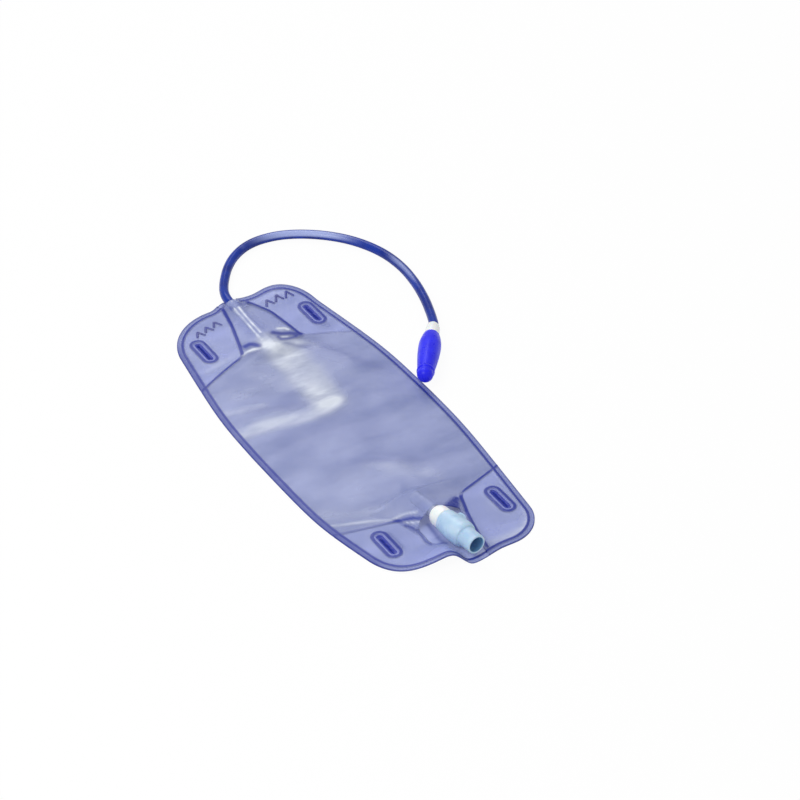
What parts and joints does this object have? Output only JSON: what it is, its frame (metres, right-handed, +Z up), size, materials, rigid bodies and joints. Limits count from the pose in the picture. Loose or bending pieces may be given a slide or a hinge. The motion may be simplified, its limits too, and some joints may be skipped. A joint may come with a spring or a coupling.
{
  "type": "urine drainage bag",
  "caption": "Flat leg-worn drainage bag of welded film with strap slots, a capped inlet tube, a one-way sleeve inside and a twist drain valve at the foot.",
  "frame": {"origin": "on the resting surface, under the middle of the bag, measured without the free tube, its connector and its cap", "axes": "+Y along the bag to the inlet end, +Z up from the surface it lies on, +X across the bag, to the right when the front is seen with the inlet end away"},
  "size_m": [0.203, 0.3877, 0.0189],
  "materials": {
    "film": "clear blue-tinted vinyl film, gloss",
    "sleeve_film": "thin milky vinyl film",
    "clear_tube": "clear soft vinyl, gloss",
    "blue_tube": "deep blue soft vinyl tube, gloss",
    "white_plastic": "white moulded plastic, satin",
    "cap_blue": "bright blue soft moulded plastic, satin",
    "pale_blue_plastic": "pale blue moulded plastic, satin",
    "seal_rubber": "black seal rubber"
  },
  "bodies": {
    "bag": {"back_film": "film", "front_film": "film", "reflux_sleeve_back": "sleeve_film", "reflux_sleeve_front": "sleeve_film", "inlet_port": "clear_tube", "inlet_tube": "blue_tube", "inlet_connector": "white_plastic", "outlet_port": "clear_tube", "valve_stem": "white_plastic", "o_ring_inner": "seal_rubber", "o_ring_outer": "seal_rubber"},
    "cap": {"connector_cap": "cap_blue"},
    "valve_sleeve": {"valve_sleeve": "pale_blue_plastic"}
  },
  "joints": [
    {"name": "cap_pull", "type": "slide", "parent": "bag", "child": "cap", "axis": [-0.6059, -0.7925, 0.0698], "range_m": [0, 0.038]},
    {"name": "valve_turn", "type": "hinge", "parent": "bag", "child": "valve_sleeve", "pos_m": [-0.0011, -0.1245, 0.00875], "axis": [0.087, -0.9948, 0.0523], "range_deg": [0, 90]}
  ]
}
